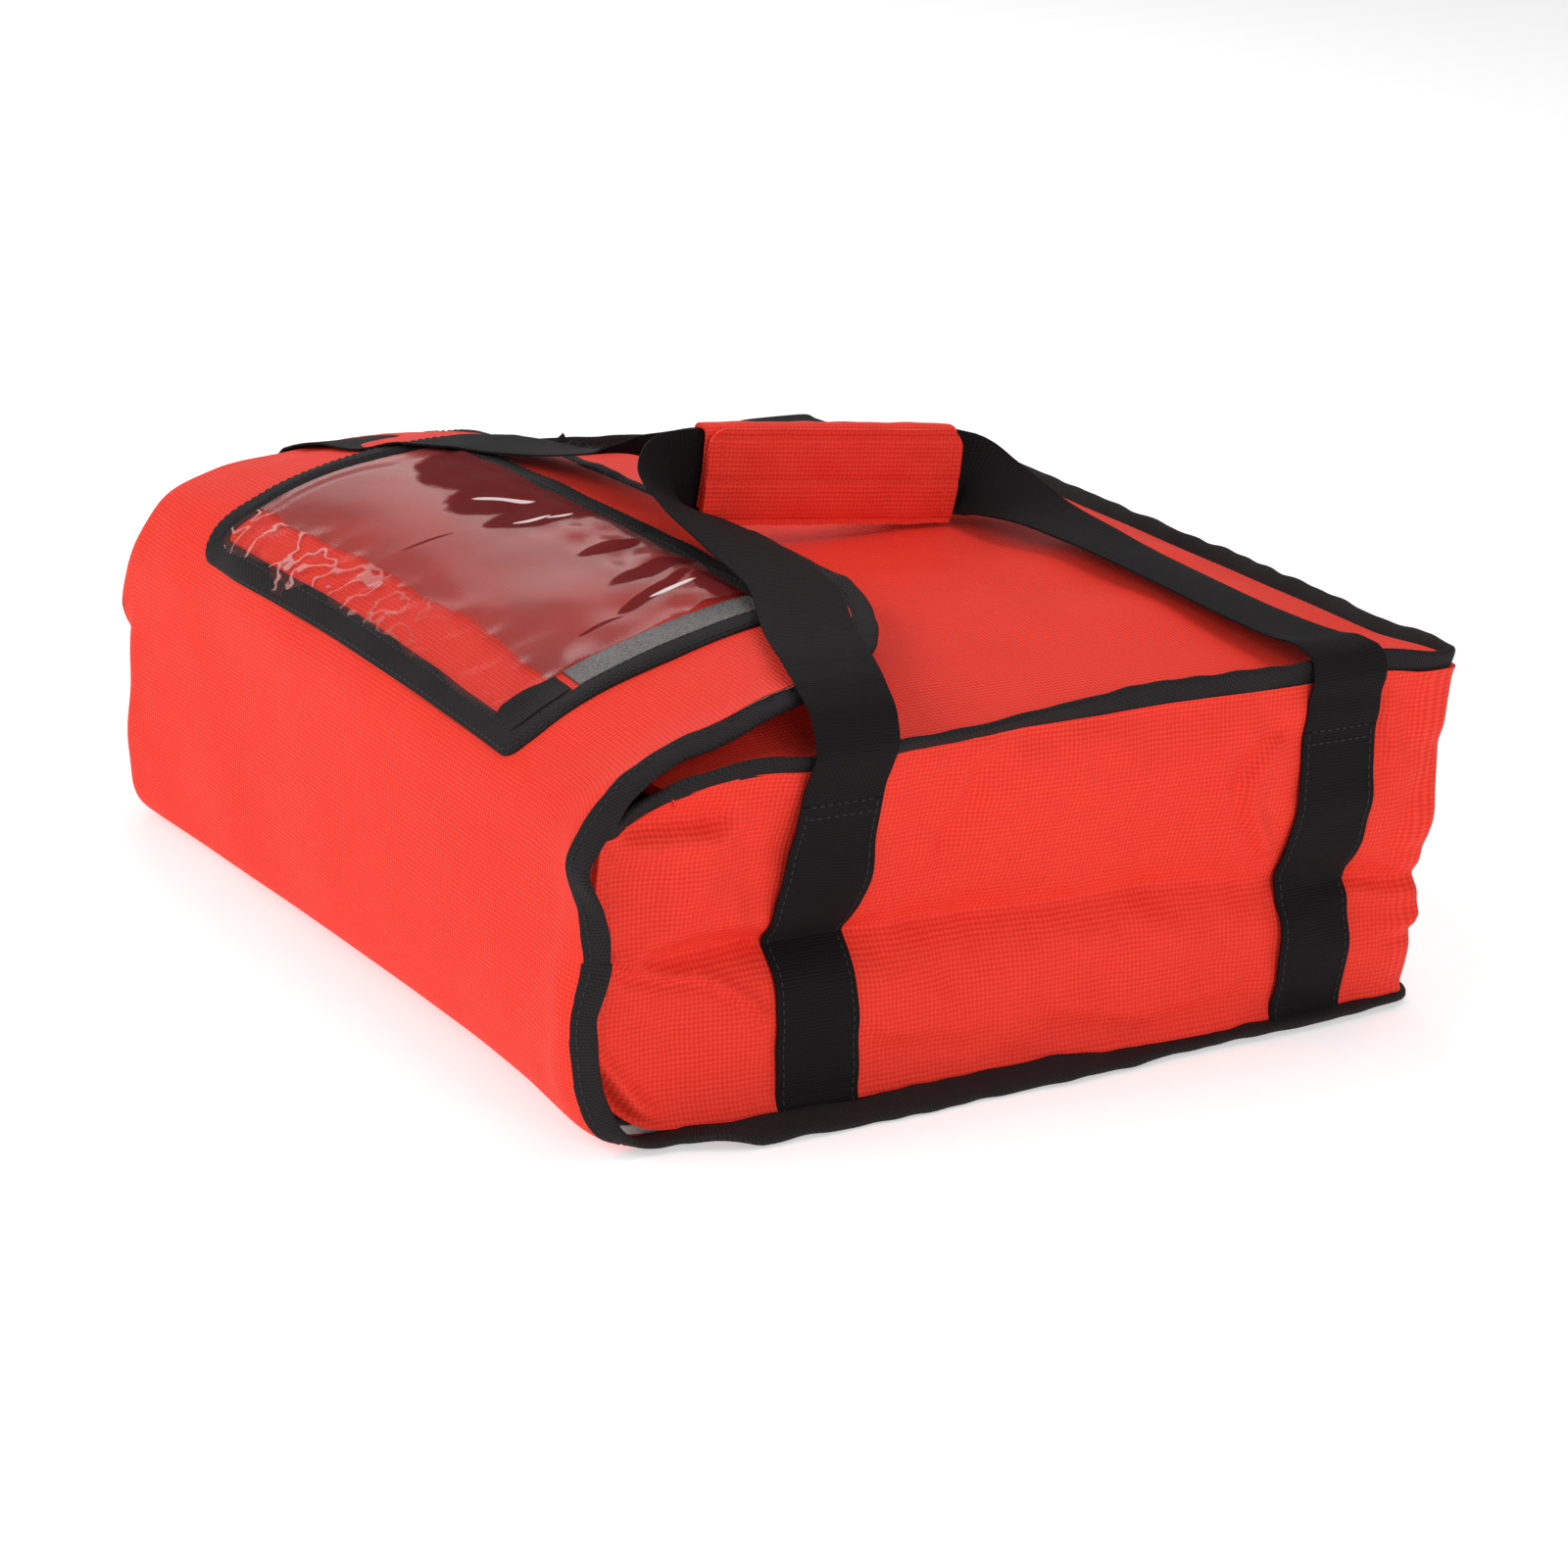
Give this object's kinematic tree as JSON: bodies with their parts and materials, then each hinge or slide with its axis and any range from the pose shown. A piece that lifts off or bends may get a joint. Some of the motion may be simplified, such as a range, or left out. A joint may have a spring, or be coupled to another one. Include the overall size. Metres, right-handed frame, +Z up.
{
  "type": "pizza delivery bag",
  "caption": "Insulated fabric pizza delivery bag with a wrap-over front flap, clear ticket pocket and two webbing handles joined by a padded wrap grip.",
  "frame": {"origin": "on the surface the bag stands on, under the centre of the bag's bounding box", "axes": "+Z up, +X across the bag towards its right wall, +Y from the mouth and front flap to the back wall"},
  "size_m": [0.495, 0.4322, 0.2448],
  "materials": {
    "coated_polyester": "woven oxford polyester with a thin coating, slight sheen",
    "insulating_foam": "closed-cell polyethylene foam",
    "foil_lining": "metallised film on a thin backing, satin",
    "binding_tape": "ribbed polypropylene binding tape, matt",
    "handle_webbing": "woven polypropylene webbing, matt",
    "clear_vinyl": "clear soft vinyl film, glossy",
    "loop_tape": "brushed loop tape",
    "hook_tape": "nylon hook tape"
  },
  "bodies": {
    "body": {"base_outer": "coated_polyester", "base_foam": "insulating_foam", "base_lining": "foil_lining", "base_seam_binding": "binding_tape", "wall_outer": "coated_polyester", "right_foam": "insulating_foam", "back_foam": "insulating_foam", "left_foam": "insulating_foam", "wall_lining": "foil_lining", "top_outer": "coated_polyester", "top_foam": "insulating_foam", "top_lining": "foil_lining", "top_seam_binding": "binding_tape", "top_loop_right": "loop_tape", "top_loop_left": "loop_tape", "right_near_sewn_webbing": "handle_webbing", "right_far_sewn_webbing": "handle_webbing", "left_near_sewn_webbing": "handle_webbing", "left_far_sewn_webbing": "handle_webbing", "right_near_leg": "handle_webbing", "right_far_leg": "handle_webbing", "left_near_leg": "handle_webbing", "left_far_leg": "handle_webbing"},
    "front_flap": {"front_outer": "coated_polyester", "front_foam": "insulating_foam", "front_lining": "foil_lining", "front_binding_right": "binding_tape", "front_binding_left": "binding_tape", "pocket_binding_lower": "binding_tape", "pocket_film_lower": "clear_vinyl"},
    "top_flap": {"flap_outer": "coated_polyester", "flap_foam": "insulating_foam", "flap_lining": "foil_lining", "flap_binding": "binding_tape", "flap_hook_right": "hook_tape", "flap_hook_left": "hook_tape", "pocket_binding_upper": "binding_tape", "pocket_film_upper": "clear_vinyl", "pocket_loop": "loop_tape", "pocket_hook": "hook_tape"},
    "grip": {"grip_wrap": "coated_polyester", "grip_loop": "loop_tape", "right_handle_middle": "handle_webbing", "left_handle_middle": "handle_webbing"},
    "grip_cover": {"grip_flap": "coated_polyester", "grip_hook": "hook_tape"}
  },
  "joints": [
    {"name": "front_flap_hinge", "type": "hinge", "parent": "body", "child": "front_flap", "pos_m": [0, -0.20438, 0.01172], "axis": [1, 0, 0], "range_deg": [0, 88]},
    {"name": "top_flap_hinge", "type": "hinge", "parent": "front_flap", "child": "top_flap", "pos_m": [0, -0.19744, 0.16504], "axis": [1, 0, 0], "range_deg": [0, 90]},
    {"name": "grip_lift", "type": "slide", "parent": "body", "child": "grip", "axis": [0, 0, 1], "range_m": [0, 0.115], "deforming": ["right_near_leg", "right_far_leg", "left_near_leg", "left_far_leg"]},
    {"name": "grip_cover_hinge", "type": "hinge", "parent": "grip", "child": "grip_cover", "pos_m": [0.0105, 0.03744, 0.19397], "axis": [0, 0.994, -0.1097], "range_deg": [0, 90]}
  ]
}
